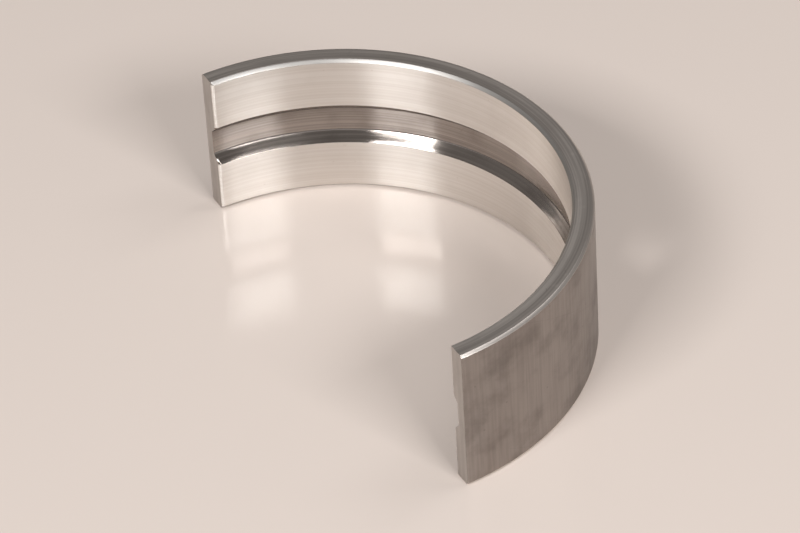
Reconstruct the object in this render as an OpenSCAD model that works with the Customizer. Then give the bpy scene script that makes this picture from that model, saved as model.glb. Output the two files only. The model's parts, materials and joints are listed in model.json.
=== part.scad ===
// Main bearing shell of a piston engine: one half of a split, steel-backed plain bearing.
// The bearing's centre is the origin and its axis is Z. The joint faces lie on the plane y = 0,
// the crown points along +Y, and the shell stands on its lower side face.

/* [Shell] */
// Diameter of the running face, which goes round the journal
bore_d = 54; // [40:0.5:80]
// Wall thickness from the running face to the back
wall = 2.5; // [2:0.1:4]
// Width of the shell along the bearing axis
shell_w = 18.4; // [16:0.1:30]

/* [Edges] */
// Chamfer between the running face and the side faces
bore_chamfer = 0.35; // [0.1:0.05:0.6]
// Chamfer between the back and the side faces
back_chamfer = 0.3; // [0.1:0.05:0.6]
// Chamfer between the running face and the joint faces
joint_chamfer = 0.3; // [0.1:0.05:0.6]

/* [Oil groove] */
// Width of the groove where it opens on the running face
groove_w = 5.4; // [3:0.1:6.5]
// Depth of the groove below the running face
groove_depth = 1.1; // [0.6:0.05:1.4]
// Slope of the groove's flanks away from the radial direction, in degrees
groove_flank = 45; // [5:1:50]
// Radius between the groove's floor and its flanks
groove_fillet = 0.2; // [0.1:0.05:0.6]

/* [Oil hole] */
// Diameter of the oil hole
oil_hole_d = 5; // [2.5:0.1:6]
// Angle round the shell from the +X joint face to the oil hole, in degrees
oil_hole_angle = 70; // [35:1:145]
// Chamfer round the oil hole on the back
oil_hole_chamfer = 0.3; // [0.1:0.05:0.6]

/* [Hidden] */
$fn = 180;

r_bore = bore_d / 2;
r_back = r_bore + wall;
half_w = shell_w / 2;
// Distance that a cut runs past the face it opens on
past = 1;

// Oil groove in section: its floor, and the fillet's tangent length there
r_floor = r_bore + groove_depth;
floor_half = groove_w / 2 - groove_depth * tan(groove_flank);
fillet_run = groove_fillet / tan((90 + groove_flank) / 2);

// Groove in section, with r along X, open towards the bearing axis
module groove_section() {
    mouth_half = groove_w / 2 + past * tan(groove_flank);
    mouth = [r_bore - past, mouth_half];
    flank_end = [
        r_floor - fillet_run * cos(groove_flank),
        floor_half + fillet_run * sin(groove_flank)
    ];
    floor_end = [r_floor, floor_half - fillet_run];
    for (side = [0, 1])
        mirror([0, side]) {
            polygon([[r_bore - past, 0], mouth, flank_end, floor_end, [r_floor, 0]]);
            translate([r_floor - groove_fillet, floor_end.y])
                circle(r = groove_fillet);
        }
}

// Wall in section, with r along X
module shell_section() {
    difference() {
        polygon([
            [r_bore, half_w - bore_chamfer],
            [r_bore + bore_chamfer, half_w],
            [r_back - back_chamfer, half_w],
            [r_back, half_w - back_chamfer],
            [r_back, -half_w + back_chamfer],
            [r_back - back_chamfer, -half_w],
            [r_bore + bore_chamfer, -half_w],
            [r_bore, -half_w + bore_chamfer]
        ]);
        groove_section();
    }
}

// Hole that feeds the groove from the back, eased where it leaves the back
module oil_hole() {
    rotate([0, 90, oil_hole_angle]) {
        cylinder(d = oil_hole_d, h = r_back + past);
        translate([0, 0, r_back - oil_hole_chamfer])
            cylinder(
                r1 = oil_hole_d / 2,
                r2 = oil_hole_d / 2 + oil_hole_chamfer + past,
                h = oil_hole_chamfer + past
            );
    }
}

// Eased edges where the running face meets the two joint faces
module joint_edges() {
    for (end = [0, 1])
        mirror([end, 0, 0])
            translate([0, 0, -half_w - past])
                linear_extrude(shell_w + 2 * past)
                    polygon([
                        [r_bore - past, -past],
                        [r_bore + joint_chamfer + past, -past],
                        [r_bore - past, joint_chamfer + past]
                    ]);
}

module bearing_shell() {
    color("#968c86")
        difference() {
            rotate_extrude(angle = 180) shell_section();
            oil_hole();
            joint_edges();
        }
}

bearing_shell();
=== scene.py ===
import json
import math

import bpy
from mathutils import Matrix, Vector


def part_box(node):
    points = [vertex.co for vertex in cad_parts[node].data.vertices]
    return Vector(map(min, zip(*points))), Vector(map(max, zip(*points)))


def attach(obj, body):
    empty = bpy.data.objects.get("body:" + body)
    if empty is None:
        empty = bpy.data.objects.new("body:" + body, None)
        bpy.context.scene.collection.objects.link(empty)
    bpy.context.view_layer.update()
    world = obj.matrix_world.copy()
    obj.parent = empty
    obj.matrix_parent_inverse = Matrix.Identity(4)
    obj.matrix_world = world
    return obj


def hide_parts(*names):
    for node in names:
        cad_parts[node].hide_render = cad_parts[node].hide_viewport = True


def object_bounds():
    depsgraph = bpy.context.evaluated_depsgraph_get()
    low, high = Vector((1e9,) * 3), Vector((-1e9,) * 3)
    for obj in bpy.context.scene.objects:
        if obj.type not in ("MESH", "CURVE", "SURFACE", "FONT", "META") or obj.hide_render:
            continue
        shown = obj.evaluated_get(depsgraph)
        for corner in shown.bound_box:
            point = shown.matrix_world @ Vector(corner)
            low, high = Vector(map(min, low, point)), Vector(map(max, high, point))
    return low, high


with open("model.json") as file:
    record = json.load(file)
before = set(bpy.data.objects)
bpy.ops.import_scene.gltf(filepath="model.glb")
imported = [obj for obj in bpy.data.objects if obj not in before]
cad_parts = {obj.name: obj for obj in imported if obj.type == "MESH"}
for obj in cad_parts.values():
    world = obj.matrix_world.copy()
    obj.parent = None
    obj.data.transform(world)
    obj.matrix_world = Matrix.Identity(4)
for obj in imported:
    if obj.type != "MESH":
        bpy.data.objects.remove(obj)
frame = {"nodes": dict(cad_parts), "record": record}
cadLow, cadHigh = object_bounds()
shellLow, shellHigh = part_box("bearing_shell")
mounts = {mount["name"]: mount for mount in frame["record"]["mounts"]}
mm = 0.001
print("frame loaded:", ", ".join(sorted(frame["nodes"])))


# node helpers, for geometry and shader trees alike
class Wire:  # a node's output that adds, scales and compares like a number
    def __init__(self, socket):
        self.socket = socket

    def calc(self, operation, *others):
        terms = dict(enumerate((self, *others)))
        return out(addNode(self.socket.id_data, "ShaderNodeMath", terms, operation=operation))

    def __add__(self, other):
        return self.calc("ADD", other)

    def __sub__(self, other):
        return self.calc("SUBTRACT", other)

    def __mul__(self, other):
        return self.calc("MULTIPLY", other)

    def __truediv__(self, other):
        return self.calc("DIVIDE", other)

    def __neg__(self):
        return self * -1

    def over(self, limit):
        return self.calc("GREATER_THAN", limit)

    def under(self, limit):
        return self.calc("LESS_THAN", limit)

    def ramp(self, start, end, low=0, high=1):
        limits = {"Value": self, "From Min": start, "From Max": end, "To Min": low, "To Max": high}
        tree = self.socket.id_data
        return out(addNode(tree, "ShaderNodeMapRange", limits, interpolation_type="SMOOTHSTEP"))


def plug(tree, socket, value):
    if isinstance(value, Wire):
        tree.links.new(value.socket, socket)
    else:
        socket.default_value = value


def addNode(tree, kind, inputs=None, **settings):
    node = tree.nodes.new(kind)
    for name, value in settings.items():
        setattr(node, name, value)
    for key, value in (inputs or {}).items():
        plug(tree, node.inputs[key], value)
    return node


def out(node, key=0):
    return Wire(node.outputs[key])


def joinXyz(tree, x, y, z=0):
    return out(addNode(tree, "ShaderNodeCombineXYZ", {"X": x, "Y": y, "Z": z}))


def splitXyz(vector):
    node = addNode(vector.socket.id_data, "ShaderNodeSeparateXYZ", {"Vector": vector})
    return out(node, "X"), out(node, "Y"), out(node, "Z")


# shader groups that the finishes share
def newShaderGroup(name, inputs, outputs):
    tree = bpy.data.node_groups.new(name, "ShaderNodeTree")
    for title in inputs:
        tree.interface.new_socket(title, in_out="INPUT", socket_type="NodeSocketFloat")
    for title in outputs:
        tree.interface.new_socket(title, in_out="OUTPUT", socket_type="NodeSocketFloat")
    entry = addNode(tree, "NodeGroupInput")
    return tree, {title: out(entry, title) for title in inputs}


def placeGroup(tree, group, inputs=None):
    node = addNode(tree, "ShaderNodeGroup", inputs, node_tree=group)
    return {socket.name: Wire(socket) for socket in node.outputs}


def noise(tree, vector, detail, roughness=0.5):
    inputs = {"Vector": vector, "Scale": 1, "Detail": detail, "Roughness": roughness}
    return out(addNode(tree, "ShaderNodeTexNoise", inputs), "Fac")


def shellPlaceGroup():  # where a point lies on the shell, in mm
    tree, _ = newShaderGroup("shellPlace", [], ["Around", "Across", "Radius"])
    x, y, z = splitXyz(out(addNode(tree, "ShaderNodeTexCoord"), "Object"))
    radius = (x * x + y * y).calc("SQRT")
    around = y.calc("ARCTAN2", x) * shellLook["sizes"]["Bore Radius"]
    addNode(tree, "NodeGroupOutput", {"Around": around, "Across": z / mm, "Radius": radius / mm})
    return tree


# line and run: how closely the bands lie, as shares of the fine lines' closeness
bandLook = {"line": 0.3, "run": 0.8, "seed": 5.3}


def toolLinesGroup():  # fine lines that a cutting tool leaves, and the broader bands among them
    tree, given = newShaderGroup("toolLines", ["Line", "Run", "Pitch", "Reach"], ["Fine", "Bands"])
    line, run = given["Line"] / given["Pitch"], given["Run"] / given["Reach"]
    fine = noise(tree, joinXyz(tree, line, run), detail=1)
    broad = joinXyz(tree, line * bandLook["line"], run * bandLook["run"], bandLook["seed"])
    bands = noise(tree, broad, detail=2)
    addNode(tree, "NodeGroupOutput", {"Fine": fine, "Bands": bands})
    return tree


# specks: sizes in mm; scuffs: hairs per mm along and across, and where a hair starts to show
markLook = {
    "speckSpacing": 2.2,
    "speckSize": 0.07,
    "cleanSpots": 0.85,  # share of the spots that hold no speck
    "speckSlant": 0.6,  # spreads the specks over the side faces too
    "scuffSlopes": (0.22, -0.6),
    "scuffSeeds": (0, 40),
    "scuffsAlong": 0.02,
    "scuffsAcross": 7,
    "scuffShows": (0.78, 0.84),
}


def benchMarksGroup():  # stains, specks and scuffs from handling
    titles = ["Stain", "Specks", "Scuffs"]
    tree, given = newShaderGroup("benchMarks", ["Stain Size", "Speck Size"], titles)
    place = placeGroup(tree, shellPlace)
    around, across, radius = place["Around"], place["Across"], place["Radius"]
    size = given["Stain Size"]
    stain = noise(tree, joinXyz(tree, around / size, across / size, radius), detail=4, roughness=0.55)

    spacing = markLook["speckSpacing"]
    spot = joinXyz(tree, around + radius, across + radius * markLook["speckSlant"])
    spot = {"Vector": spot, "Randomness": 1, "Scale": 1 / spacing}
    cells = addNode(tree, "ShaderNodeTexVoronoi", spot, voronoi_dimensions="2D")
    _, chance, _ = splitXyz(out(cells, "Color"))
    fromMiddle = out(cells, "Distance") * spacing
    specks = fromMiddle.ramp(given["Speck Size"], given["Speck Size"] * 2, 1, 0)
    specks = specks * chance.over(markLook["cleanSpots"])

    hairs = []
    for slope, seed in zip(markLook["scuffSlopes"], markLook["scuffSeeds"]):
        along = (around + across * slope) * markLook["scuffsAlong"]
        aside = (across - around * slope) * markLook["scuffsAcross"]
        hair = noise(tree, joinXyz(tree, along, aside, radius + seed), detail=0)
        hairs.append(hair.ramp(*markLook["scuffShows"]))
    scuffs = hairs[0].calc("MAXIMUM", hairs[1])
    addNode(tree, "NodeGroupOutput", {"Stain": stain, "Specks": specks, "Scuffs": scuffs})
    return tree


# lines: the direction that the tool's lines lie across; sizes in mm
finishLooks = {
    "runningFace": {
        "pale": (0.855, 0.825, 0.79), "deep": (0.775, 0.74, 0.70), "stain": (0.66, 0.615, 0.57),
        "rough": (0.285, 0.345), "stretch": 0.9, "lines": "Across", "pitch": 0.2, "reach": 160,
        "height": 0.0006, "stainSize": 7, "stained": 0.25, "specked": 0.45, "scuffed": 0.15,
    },
    "innerChamfer": {
        "pale": (0.54, 0.52, 0.495), "deep": (0.46, 0.44, 0.42), "stain": (0.38, 0.35, 0.325),
        "rough": (0.36, 0.44), "stretch": 0.0, "lines": "Radius", "pitch": 0.07, "reach": 50,
        "height": 0.001, "stainSize": 4, "stained": 0.2, "specked": 0.2, "scuffed": 0.1,
    },
    "oilGroove": {
        "pale": (0.37, 0.335, 0.31), "deep": (0.245, 0.22, 0.203), "stain": (0.19, 0.163, 0.147),
        "rough": (0.10, 0.17), "stretch": 0.85, "lines": "Across", "pitch": 0.2, "reach": 45,
        "height": 0.0015, "stainSize": 4, "stained": 0.45, "specked": 0.3, "scuffed": 0.1,
    },
    # painted light: the groove's own steel again, in a paler colour that stands in for light on the
    # flanks, which otherwise show dark
    "grooveFlank": {
        "pale": (0.53, 0.475, 0.435), "deep": (0.36, 0.32, 0.292), "stain": (0.25, 0.215, 0.193),
        "rough": (0.10, 0.17), "stretch": 0.8, "lines": "Across", "pitch": 0.2, "reach": 45,
        "height": 0.0015, "stainSize": 4, "stained": 0.45, "specked": 0.3, "scuffed": 0.1,
    },
    # painted shade: the groove's fillet corners get a dark colour that stands in for shade in the
    # groove's corners
    "grooveCorner": {
        "pale": (0.22, 0.195, 0.18), "deep": (0.16, 0.14, 0.13), "stain": (0.12, 0.10, 0.09),
        "rough": (0.50, 0.62), "stretch": 0.0, "lines": "Across", "pitch": 0.1, "reach": 30,
        "height": 0.002, "stainSize": 3, "stained": 0.5, "specked": 0.2, "scuffed": 0.1,
    },
    "oilHole": {
        "pale": (0.42, 0.385, 0.36), "deep": (0.31, 0.28, 0.26), "stain": (0.22, 0.19, 0.17),
        "rough": (0.28, 0.38), "stretch": 0.0, "lines": "Radius", "pitch": 0.12, "reach": 20,
        "height": 0.002, "stainSize": 2, "stained": 0.4, "specked": 0.2, "scuffed": 0.1,
    },
    "sideFace": {
        "pale": (0.83, 0.77, 0.72), "deep": (0.53, 0.485, 0.45), "stain": (0.41, 0.37, 0.34),
        "rough": (0.30, 0.42), "stretch": 0.0, "lines": "Radius", "pitch": 0.24, "reach": 35,
        "height": 0.0015, "stainSize": 5, "stained": 0.4, "specked": 0.35, "scuffed": 0.25,
    },
    "back": {
        "pale": (0.345, 0.307, 0.282), "deep": (0.29, 0.257, 0.236), "stain": (0.165, 0.142, 0.128),
        "rough": (0.32, 0.46), "stretch": 0.4, "lines": "Around", "pitch": 0.34, "reach": 9,
        "height": 0.002, "stainSize": 4, "stained": 0.55, "specked": 0.4, "scuffed": 0.35,
    },
    "jointFace": {
        "pale": (0.5, 0.47, 0.445), "deep": (0.4, 0.375, 0.353), "stain": (0.31, 0.283, 0.262),
        "rough": (0.28, 0.38), "stretch": 0.0, "lines": "Radius", "pitch": 0.1, "reach": 25,
        "height": 0.0015, "stainSize": 4, "stained": 0.3, "specked": 0.2, "scuffed": 0.2,
    },
}


mixFirst, mixSecond, mixResult = 6, 7, 2  # the Mix node's colour sockets


def mixValue(first, second, share):
    return first * share + second * (1 - share)


def mixColour(tree, share, first, second):
    inputs = {"Factor": share}
    for key, colour in ((mixFirst, first), (mixSecond, second)):
        inputs[key] = colour if isinstance(colour, Wire) else (*colour, 1)
    return out(addNode(tree, "ShaderNodeMix", inputs, data_type="RGBA"), mixResult)


# how lines and marks mix on every finish; a pair is where a blend starts and ends
metalMix = {
    "fineShare": 0.5,  # of the colour's change, against the bands
    "paleBlend": (0.35, 0.65),
    "stainBlend": (0.42, 0.76),
    "bandShare": 0.6,  # of the roughness's change, against the stains
    "roughBlend": (0.3, 0.7),
    "scuffRough": 0.3,
    "stretchTurn": 0.25,  # of a full turn, so that highlights stretch along the bearing axis
}


def metalFinish(name, look):
    metal = bpy.data.materials.new(name)
    metal.use_nodes = True
    tree = metal.node_tree
    shader = tree.nodes["Principled BSDF"]
    place = placeGroup(tree, shellPlace)
    lines = {
        "Line": place[look["lines"]],
        "Run": place["Across" if look["lines"] == "Around" else "Around"],
        "Pitch": look["pitch"],
        "Reach": look["reach"],
    }
    tool = placeGroup(tree, toolLines, lines)
    sizes = {"Stain Size": look["stainSize"], "Speck Size": markLook["speckSize"]}
    marks = placeGroup(tree, benchMarks, sizes)

    cut = mixValue(tool["Fine"], tool["Bands"], metalMix["fineShare"]).ramp(*metalMix["paleBlend"])
    worked = mixColour(tree, cut, look["deep"], look["pale"])
    dulled = marks["Stain"].ramp(*metalMix["stainBlend"]) * look["stained"]
    dulled = dulled.calc("MAXIMUM", marks["Specks"] * look["specked"])
    rough = mixValue(tool["Bands"], marks["Stain"], metalMix["bandShare"])
    rough = rough.ramp(*metalMix["roughBlend"], *look["rough"])
    relief = {"Height": tool["Fine"], "Strength": 1, "Distance": look["height"] * mm}
    sockets = {
        "Base Color": mixColour(tree, dulled, worked, look["stain"]),
        "Roughness": rough + marks["Scuffs"] * (look["scuffed"] * metalMix["scuffRough"]),
        "Normal": out(addNode(tree, "ShaderNodeBump", relief)),
        "Metallic": 1,
        "Anisotropic": look["stretch"],
        "Anisotropic Rotation": metalMix["stretchTurn"],
    }
    for title, value in sockets.items():
        plug(tree, shader.inputs[title], value)
    return metal


# the shell, with sizes in mm and angles in degrees
holeOut = mounts["oil_hole"]["axis"]
shellLook = {
    "sizes": {
        "Bore Radius": mounts["journal_bore"]["dims"]["r_mm"],
        "Back Radius": shellHigh.y / mm,
        "Width": (shellHigh.z - shellLow.z) / mm,
        "Bore Chamfer": 0.35,
        "Back Chamfer": 0.3,
        "Joint Chamfer": 0.3,
        "Edge Ease": 0.07,  # rounding of the machined edges
        "Groove Width": 5.4,
        "Groove Depth": 1.1,
        "Groove Fillet": 0.2,
        "Hole Radius": mounts["oil_hole"]["dims"]["r_mm"],
        "Hole Chamfer": 0.3,
        "Point Spacing": 0.6,
    },
    "angles": {
        "Groove Flank": 45,  # away from the radial direction
        "Hole Angle": math.degrees(math.atan2(holeOut[1], holeOut[0])),
    },
    "counts": {"Rings": 261, "Hole Sides": 160, "Edge Points": 4},
    "endCrowding": 0.93,  # 0 spaces the rings evenly, 1 crowds them at the joint faces
    "smoothAngle": 33,  # edges that turn by more are sharp
    # shares of the groove's fillet that its corner takes up the flank and along the floor; that corner
    # gets a dark colour as painted shade
    "cornerRise": 0.8,
    "cornerReach": 0.5,
}
drillLength = 3  # in wall thicknesses
endFacing = -0.9  # a joint face's normal has a lower y than this
sliver = 0.001 * mm  # slack when places are compared


def pickByIndex(tree, kind, index, values):
    node = addNode(tree, "GeometryNodeIndexSwitch", data_type=kind)
    while len(node.index_switch_items) < len(values):
        node.index_switch_items.new()
    plug(tree, node.inputs["Index"], index)
    for number, value in enumerate(values):
        plug(tree, node.inputs[str(number)], value)
    return out(node)


def captured(tree, geometry, **fields):
    node = addNode(tree, "GeometryNodeCaptureAttribute", {"Geometry": geometry}, domain="POINT")
    for name, field in fields.items():
        node.capture_items.new("VECTOR" if field.socket.type == "VECTOR" else "FLOAT", name)
        plug(tree, node.inputs[name], field)
    return out(node), [out(node, name) for name in fields]


def grooveFloor(size):  # its radius, and half its width before the fillets
    slope = size["Groove Depth"] * size["Groove Flank"].calc("TANGENT")
    return size["Bore Radius"] + size["Groove Depth"], size["Groove Width"] * 0.5 - slope


def wallSection(tree, size):  # the wall's outline, with r along x and the bearing axis along y
    bore, back, ease = size["Bore Radius"], size["Back Radius"], size["Edge Ease"]
    half = size["Width"] * 0.5
    mouth = size["Groove Width"] * 0.5
    floor, floorEdge = grooveFloor(size)
    upper = [  # from the middle of the groove to the middle of the back
        (floor, floorEdge, size["Groove Fillet"]),
        (bore, mouth, ease),
        (bore, half - size["Bore Chamfer"], ease),
        (bore + size["Bore Chamfer"], half, ease),
        (back - size["Back Chamfer"], half, ease),
        (back, half - size["Back Chamfer"], ease),
    ]
    corners = upper + [(radius, -across, rounding) for radius, across, rounding in reversed(upper)]

    index = out(addNode(tree, "GeometryNodeInputIndex"))
    ring = out(addNode(tree, "GeometryNodeCurvePrimitiveCircle", {"Resolution": len(corners)}))
    places = [joinXyz(tree, radius, across) for radius, across, _ in corners]
    places = pickByIndex(tree, "VECTOR", index, places)
    outline = out(addNode(tree, "GeometryNodeSetPosition", {"Geometry": ring, "Position": places}))
    rounding = pickByIndex(tree, "FLOAT", index, [value for _, _, value in corners])
    fillet = {"Curve": outline, "Count": size["Edge Points"], "Radius": rounding, "Limit Radius": True}
    outline = out(addNode(tree, "GeometryNodeFilletCurve", fillet, mode="POLY"))

    # long straight stretches get points of their own, so that light runs evenly over them
    spot = out(addNode(tree, "GeometryNodeInputPosition"))
    following = out(addNode(tree, "GeometryNodeOffsetPointInCurve", {"Offset": 1}), "Point Index")
    nextSpot = addNode(tree, "GeometryNodeFieldAtIndex", data_type="FLOAT_VECTOR", domain="POINT")
    plug(tree, nextSpot.inputs["Value"], spot)
    plug(tree, nextSpot.inputs["Index"], following)
    apart = addNode(tree, "ShaderNodeVectorMath", {0: spot, 1: out(nextSpot)}, operation="DISTANCE")
    cuts = (out(apart, "Value") / size["Point Spacing"]).calc("FLOOR")
    return out(addNode(tree, "GeometryNodeSubdivideCurve", {"Curve": outline, "Cuts": cuts}))


def sweptWall(tree, size):  # the section swept straight, then eased at its ends and bent half round
    spot = out(addNode(tree, "GeometryNodeInputPosition"))
    section, (place,) = captured(tree, wallSection(tree, size), place=spot)
    rail = out(addNode(tree, "GeometryNodeCurvePrimitiveLine"))
    rail = addNode(tree, "GeometryNodeResampleCurve", {"Curve": rail, "Count": size["Rings"]})
    index = out(addNode(tree, "GeometryNodeInputIndex"))
    rail, (along,) = captured(tree, out(rail), along=index / (size["Rings"] - 1))
    sweep = {"Curve": rail, "Profile Curve": section, "Fill Caps": True}
    wall = out(addNode(tree, "GeometryNodeCurveToMesh", sweep))

    bore, ease = size["Bore Radius"], size["Edge Ease"]
    crowd = (along * math.tau).calc("SINE") * (shellLook["endCrowding"] / math.tau)
    angle = (along - crowd) * math.pi
    fromEnd = angle.calc("MINIMUM", -angle + math.pi) * bore
    short = -(fromEnd / ease).calc("MINIMUM", 1) + 1  # 1 at the joint face, 0 past its eased edge
    inset = (-(-(short * short) + 1).calc("SQRT") + 1) * ease
    chamfer = (size["Joint Chamfer"] - fromEnd).calc("MAXIMUM", 0)
    radius, across, _ = splitXyz(place)
    reach = radius.calc("MAXIMUM", bore + chamfer + inset).calc("MINIMUM", size["Back Radius"] - inset)
    side = size["Width"] * 0.5 - inset
    height = across.calc("MINIMUM", side).calc("MAXIMUM", -side)
    bent = joinXyz(tree, reach * angle.calc("COSINE"), reach * angle.calc("SINE"), height)
    wall = out(addNode(tree, "GeometryNodeSetPosition", {"Geometry": wall, "Position": bent}))
    return wall, radius, across


def oilDrill(tree, size):  # a drill with a countersink that opens on the back
    angle, back, hole = size["Hole Angle"], size["Back Radius"], size["Hole Radius"]
    length = (back - size["Bore Radius"]) * drillLength
    # the ring between the two segments is where the countersink starts
    rod = {"Vertices": size["Hole Sides"], "Side Segments": 2, "Radius": hole, "Depth": length}
    rod = out(addNode(tree, "GeometryNodeMeshCylinder", rod))
    x, y, z = splitXyz(out(addNode(tree, "GeometryNodeInputPosition")))
    flare = z.calc("MAXIMUM", 0) / hole + 1
    drill = {"Geometry": rod, "Position": joinXyz(tree, x * flare, y * flare, z)}
    drill = out(addNode(tree, "GeometryNodeSetPosition", drill))
    turn = {"Euler": joinXyz(tree, 0, math.pi / 2, angle)}
    turn = out(addNode(tree, "FunctionNodeEulerToRotation", turn))
    neck = back - size["Hole Chamfer"]
    spot = joinXyz(tree, neck * angle.calc("COSINE"), neck * angle.calc("SINE"))
    placed = {"Geometry": drill, "Translation": spot, "Rotation": turn}
    return out(addNode(tree, "GeometryNodeTransform", placed))


def buildShellTree(inputs, finishes):
    tree = bpy.data.node_groups.new("shellSweep", "GeometryNodeTree")
    tree.interface.new_socket("Shell", in_out="OUTPUT", socket_type="NodeSocketGeometry")
    for name, value in inputs.items():
        kind = "NodeSocketInt" if isinstance(value, int) else "NodeSocketFloat"
        tree.interface.new_socket(name, in_out="INPUT", socket_type=kind)
    entry = addNode(tree, "NodeGroupInput")
    size = {name: out(entry, name) for name in inputs}
    shell, radius, across = sweptWall(tree, size)

    # each strip of the section has its own finish
    bore, back = size["Bore Radius"], size["Back Radius"]
    offMiddle = across.calc("ABSOLUTE")
    onChamfer = offMiddle.over(size["Width"] * 0.5 - size["Bore Chamfer"] - sliver)
    inWall = radius.over(bore + sliver)
    inMouth = offMiddle.under(size["Groove Width"] * 0.5)
    inGroove = inMouth * inWall * radius.under(back - size["Back Chamfer"])
    floor, floorEdge = grooveFloor(size)
    cornerTop = floor - size["Groove Fillet"] * shellLook["cornerRise"]
    cornerEdge = floorEdge - size["Groove Fillet"] * shellLook["cornerReach"]
    _, faceY, _ = splitXyz(out(addNode(tree, "GeometryNodeInputNormal")))
    _, spotY, _ = splitXyz(out(addNode(tree, "GeometryNodeInputPosition")))
    onJoint = spotY.under(sliver) * faceY.under(endFacing)
    strips = {  # a later strip covers an earlier one
        "sideFace": None,
        "back": radius.over(back - sliver),
        "runningFace": radius.under(bore + sliver),
        "innerChamfer": onChamfer * inWall * radius.under(bore + size["Bore Chamfer"] - sliver),
        "oilGroove": inGroove,
        # the flanks take the paler, painted-light copy of the groove's colour
        "grooveFlank": inGroove * radius.under(cornerTop),
        # the fillets at the groove's floor take the dark painted-shade colour
        "grooveCorner": inGroove * radius.over(cornerTop) * offMiddle.over(cornerEdge),
    }
    for name, chosen in strips.items():
        wear = {"Geometry": shell, "Material": finishes[name]}
        if chosen:
            wear["Selection"] = chosen
        shell = out(addNode(tree, "GeometryNodeSetMaterial", wear))

    drill = {"Geometry": oilDrill(tree, size), "Material": finishes["oilHole"]}
    drill = out(addNode(tree, "GeometryNodeSetMaterial", drill))
    drilled = {"Mesh 1": shell, "Mesh 2": drill}
    drilled = addNode(tree, "GeometryNodeMeshBoolean", drilled, operation="DIFFERENCE", solver="EXACT")
    smooth = {"Geometry": out(drilled)}
    smooth = out(addNode(tree, "GeometryNodeSetShadeSmooth", smooth, domain="FACE"))
    flat = {"Geometry": smooth, "Selection": onJoint, "Shade Smooth": False}
    flat = out(addNode(tree, "GeometryNodeSetShadeSmooth", flat, domain="FACE"))
    turning = out(addNode(tree, "GeometryNodeInputMeshEdgeAngle"), "Unsigned Angle")
    sharp = turning.over(math.radians(shellLook["smoothAngle"]))
    crisp = {"Geometry": flat, "Selection": sharp, "Shade Smooth": False}
    crisp = out(addNode(tree, "GeometryNodeSetShadeSmooth", crisp, domain="EDGE"))
    whole = out(addNode(tree, "GeometryNodeRealizeInstances", {"Geometry": crisp}))
    ends = {"Geometry": whole, "Selection": onJoint, "Material": finishes["jointFace"]}
    addNode(tree, "NodeGroupOutput", {0: out(addNode(tree, "GeometryNodeSetMaterial", ends))})
    return tree


def buildShell(finishes):
    inputs = {name: value * mm for name, value in shellLook["sizes"].items()}
    inputs |= {name: math.radians(value) for name, value in shellLook["angles"].items()}
    inputs |= shellLook["counts"]
    tree = buildShellTree(inputs, finishes)
    shell = bpy.data.objects.new("bearingShell", bpy.data.meshes.new("bearingShell"))
    bpy.context.scene.collection.objects.link(shell)
    sweep = shell.modifiers.new("shellSweep", "NODES")
    sweep.node_group = tree
    for item in tree.interface.items_tree:
        if item.in_out == "INPUT":
            sweep[item.identifier] = inputs[item.name]
    normals = shell.modifiers.new("evenNormals", "WEIGHTED_NORMAL")
    normals.mode = "FACE_AREA"
    normals.keep_sharp = True
    swept = shell.evaluated_get(bpy.context.evaluated_depsgraph_get())
    mesh = bpy.data.meshes.new_from_object(swept)
    shell.modifiers.clear()
    shell.data = mesh
    addBakeMap(mesh)
    return shell


# the baking map: u runs round the arc, so that stretched highlights keep their direction
bakeRows = (("inside",), ("back",), ("upperRim",), ("lowerRim",), ("nearEnd", "farEnd", "hole"))
bakeGap = 0.5  # mm between islands


def holeSpot(point):  # along the hole's axis, sideways and up from it, in mm
    along = point.x * holeOut[0] + point.y * holeOut[1]
    aside = point.y * holeOut[0] - point.x * holeOut[1]
    return along / mm, aside / mm, point.z / mm


def unrolled(finish, point, middle):  # a point's island, and its place there in mm
    sizes = shellLook["sizes"]
    bore, depth = sizes["Bore Radius"], sizes["Groove Depth"]
    height, radius = point.z / mm, math.hypot(point.x, point.y) / mm
    around = math.atan2(max(point.y, 0), point.x) * bore
    if finish == "jointFace":
        return "nearEnd" if point.x > 0 else "farEnd", height, radius
    if finish == "back":
        return "back", around, height
    if finish == "sideFace":
        return "upperRim" if height > 0 else "lowerRim", around, radius - abs(height)
    if finish == "oilHole":
        along, aside, rise = holeSpot(point)
        _, middleAside, middleRise = holeSpot(middle)
        faceTurn = math.atan2(middleRise, middleAside)
        turn = math.remainder(math.atan2(rise, aside) - faceTurn, math.tau) + faceTurn
        return "hole", turn * sizes["Hole Radius"], along + math.hypot(aside, rise)
    climb = radius - bore
    climb = depth + climb if finish == "innerChamfer" else depth - climb
    return "inside", around, height + math.copysign(climb, height)


def addBakeMap(mesh):
    places = {}
    spans = {}
    for face in mesh.polygons:
        finish = mesh.materials[face.material_index].name
        for loop, vertex in zip(face.loop_indices, face.vertices):
            island, u, v = unrolled(finish, mesh.vertices[vertex].co, face.center)
            places[loop] = island, u, v
            low, high = spans.get(island, ((u, v), (u, v)))
            spans[island] = (min(low[0], u), min(low[1], v)), (max(high[0], u), max(high[1], v))
    corners = {}
    width = top = bakeGap
    for row in bakeRows:
        left = bakeGap
        for island in row:
            low, high = spans[island]
            corners[island] = left - low[0], top - low[1]
            left += high[0] - low[0] + bakeGap
        width = max(width, left)
        top += max(spans[island][1][1] - spans[island][0][1] for island in row) + bakeGap
    bakeMap = mesh.uv_layers.new(name="OFBake")
    for loop, (island, u, v) in places.items():
        left, bottom = corners[island]
        bakeMap.data[loop].uv = (u + left) / width, (v + bottom) / top


shellPlace = shellPlaceGroup()
toolLines = toolLinesGroup()
benchMarks = benchMarksGroup()
finishes = {name: metalFinish(name, look) for name, look in finishLooks.items()}
print("finishes built:", ", ".join(finishes))

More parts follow.
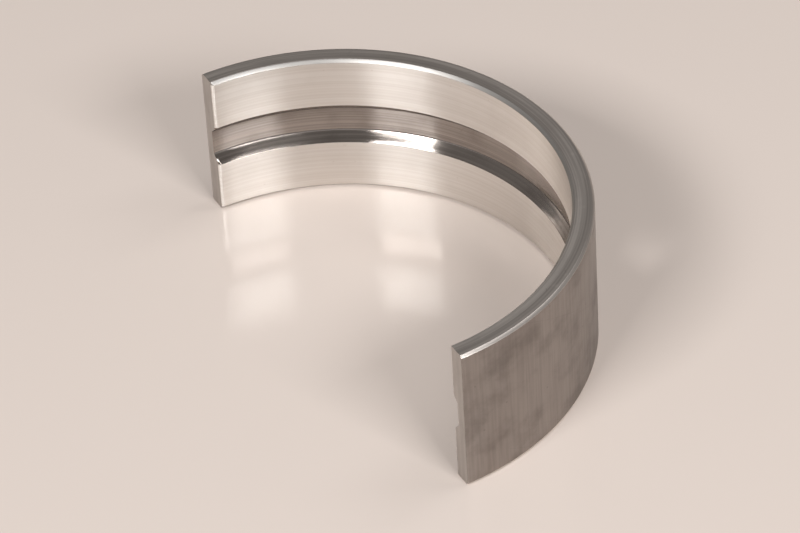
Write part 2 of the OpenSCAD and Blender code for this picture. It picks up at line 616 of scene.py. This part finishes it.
bearingShell = buildShell(finishes)
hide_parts("bearing_shell")
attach(bearingShell, "root")
print("bearing shell swept:", len(bearingShell.data.polygons), "faces")


# floor, light and camera
stageLook = {
    "floor": (0.77, 0.675, 0.615),
    "floorRough": 0.17,
    "floorSize": 8.0,  # metres
    "world": (0.225, 0.215, 0.208),
}
# direction: degrees from +X towards +Y; size and distance in metres; glow in watts per square metre
softboxes = {
    "frontBox": {"direction": -66.5, "elevation": 40, "distance": 0.9, "size": (0.36, 0.2), "glow": 63},
    "sideBox": {"direction": 6.3, "elevation": 35, "distance": 0.9, "size": (0.36, 0.2), "glow": 54},
    "rearBox": {"direction": 80, "elevation": 55, "distance": 1.0, "size": (0.5, 0.4), "glow": 9},
}
cameraLook = {  # lengths in mm, angles in degrees
    "aim": (-0.52, 8.92, -3.35),
    "azimuth": 62.66,
    "elevation": 39.63,
    "distance": 538.9,
    "roll": -3.61,
    "lens": 216,
    "sensor": 36,
    "nearest": 10,
}


def buildStage():
    half = stageLook["floorSize"] / 2
    corners = [(x, y, cadLow.z) for x, y in ((-half, -half), (half, -half), (half, half), (-half, half))]
    mesh = bpy.data.meshes.new("floor")
    mesh.from_pydata(corners, [], [(0, 1, 2, 3)])
    floor = bpy.data.objects.new("floor", mesh)
    bpy.context.scene.collection.objects.link(floor)
    paper = bpy.data.materials.new("floorPaper")
    paper.use_nodes = True
    shader = paper.node_tree.nodes["Principled BSDF"]
    shader.inputs["Base Color"].default_value = (*stageLook["floor"], 1)
    shader.inputs["Roughness"].default_value = stageLook["floorRough"]
    mesh.materials.append(paper)
    world = bpy.data.worlds.new("studio")
    world.use_nodes = True
    world.node_tree.nodes["Background"].inputs["Color"].default_value = (*stageLook["world"], 1)
    bpy.context.scene.world = world


def buildLights():
    for name, box in softboxes.items():
        light = bpy.data.lights.new(name, "AREA")
        light.shape = "RECTANGLE"
        light.size, light.size_y = box["size"]
        light.energy = box["glow"] * light.size * light.size_y
        turn, rise = math.radians(box["direction"]), math.radians(box["elevation"])
        away = Vector((math.cos(turn) * math.cos(rise), math.sin(turn) * math.cos(rise), math.sin(rise)))
        lamp = bpy.data.objects.new(name, light)
        lamp.location = away * box["distance"]
        lamp.rotation_euler = (-away).to_track_quat("-Z", "Y").to_euler()
        bpy.context.scene.collection.objects.link(lamp)


def buildCamera():
    turn, rise = math.radians(cameraLook["azimuth"]), math.radians(cameraLook["elevation"])
    away = Vector((math.sin(turn) * math.cos(rise), -math.cos(turn) * math.cos(rise), math.sin(rise)))
    lens = bpy.data.cameras.new("camera")
    lens.sensor_width = cameraLook["sensor"]
    lens.lens = cameraLook["lens"]
    lens.clip_start = cameraLook["nearest"] * mm
    camera = bpy.data.objects.new("camera", lens)
    place = (Vector(cameraLook["aim"]) + away * cameraLook["distance"]) * mm
    level = (-away).to_track_quat("-Z", "Y").to_matrix().to_4x4()
    roll = Matrix.Rotation(math.radians(cameraLook["roll"]), 4, "Z")
    camera.matrix_world = Matrix.Translation(place) @ level @ roll
    bpy.context.scene.collection.objects.link(camera)
    bpy.context.scene.camera = camera


buildStage()
buildLights()
buildCamera()
bpy.context.scene.view_settings.view_transform = "Standard"
print("stage, lights and camera set")
